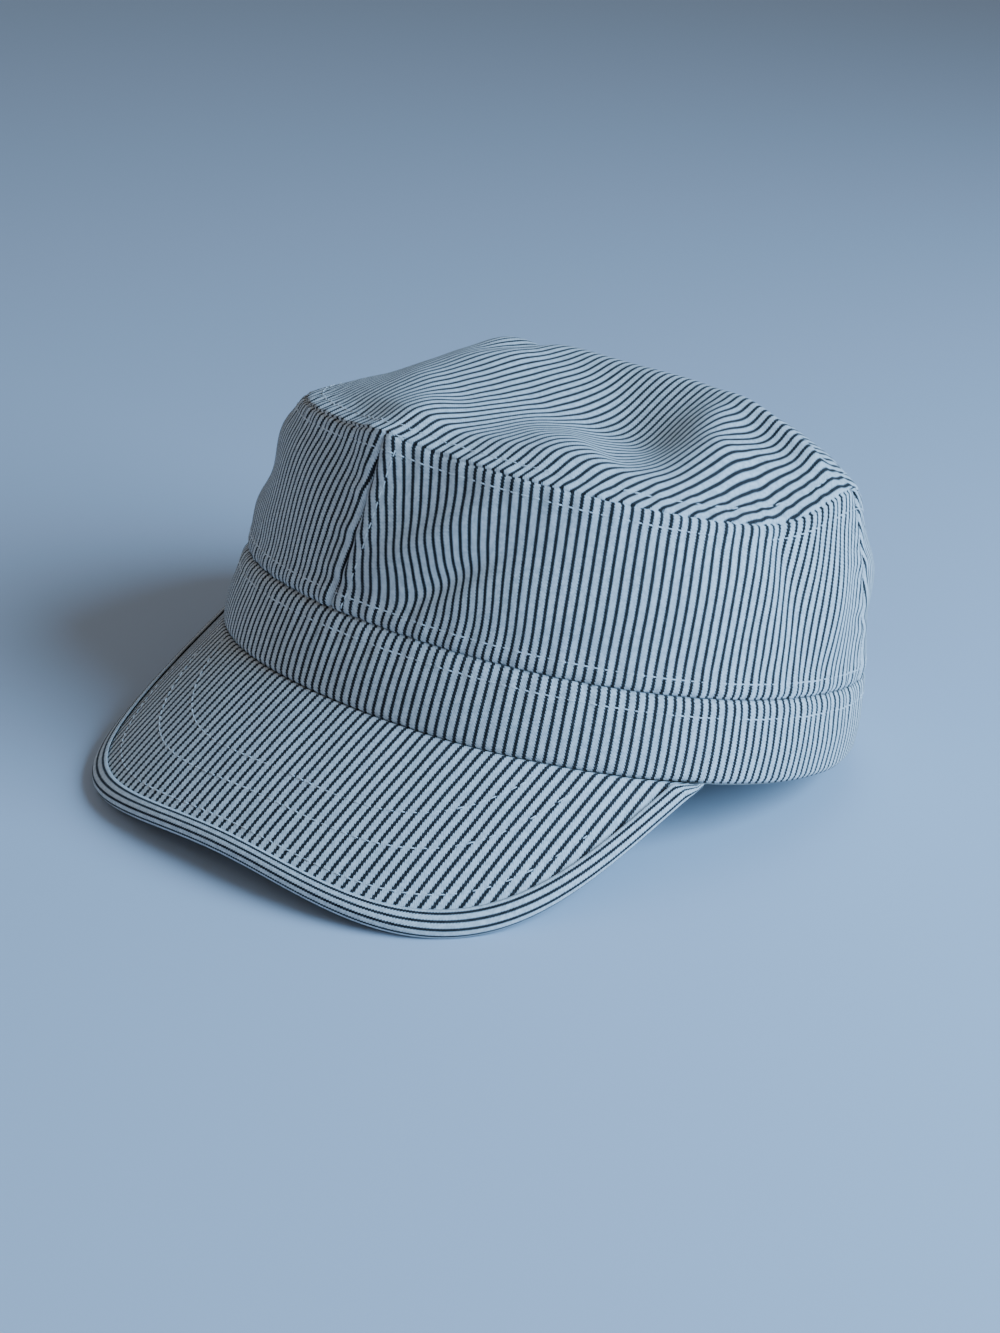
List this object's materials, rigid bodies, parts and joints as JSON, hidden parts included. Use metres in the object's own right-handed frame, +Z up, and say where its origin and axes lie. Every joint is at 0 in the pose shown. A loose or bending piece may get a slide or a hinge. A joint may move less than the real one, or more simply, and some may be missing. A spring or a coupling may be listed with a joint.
{
  "type": "soft baker boy cap",
  "caption": "Soft striped cotton cap with a full gathered crown and flat tip, a band, and a stiff bound peak, open below for the head.",
  "frame": {"origin": "middle of the box's underside, on the surface that the cap rests on", "axes": "+Z up, the peak points to -Y, the wearer's left is +X; the cap leans back about 11 degrees, as it rests"},
  "size_m": [0.1934, 0.2326, 0.111],
  "materials": {
    "crown_cloth": "off-white cotton twill with narrow black stripes",
    "band_cloth": "off-white cotton twill with narrow black upright stripes",
    "peak_cloth": "striped cotton twill over a stiff board, stripes running forward",
    "binding_cloth": "striped cotton twill folded over the edge, stripes along it",
    "sweatband_tape": "plain cream cotton tape"
  },
  "bodies": {
    "root": {"left_panel": "crown_cloth", "right_panel": "crown_cloth", "back_panel": "crown_cloth", "crown_tip": "crown_cloth", "band": "band_cloth", "sweatband": "sweatband_tape", "peak": "peak_cloth", "peak_binding": "binding_cloth"}
  },
  "joints": []
}
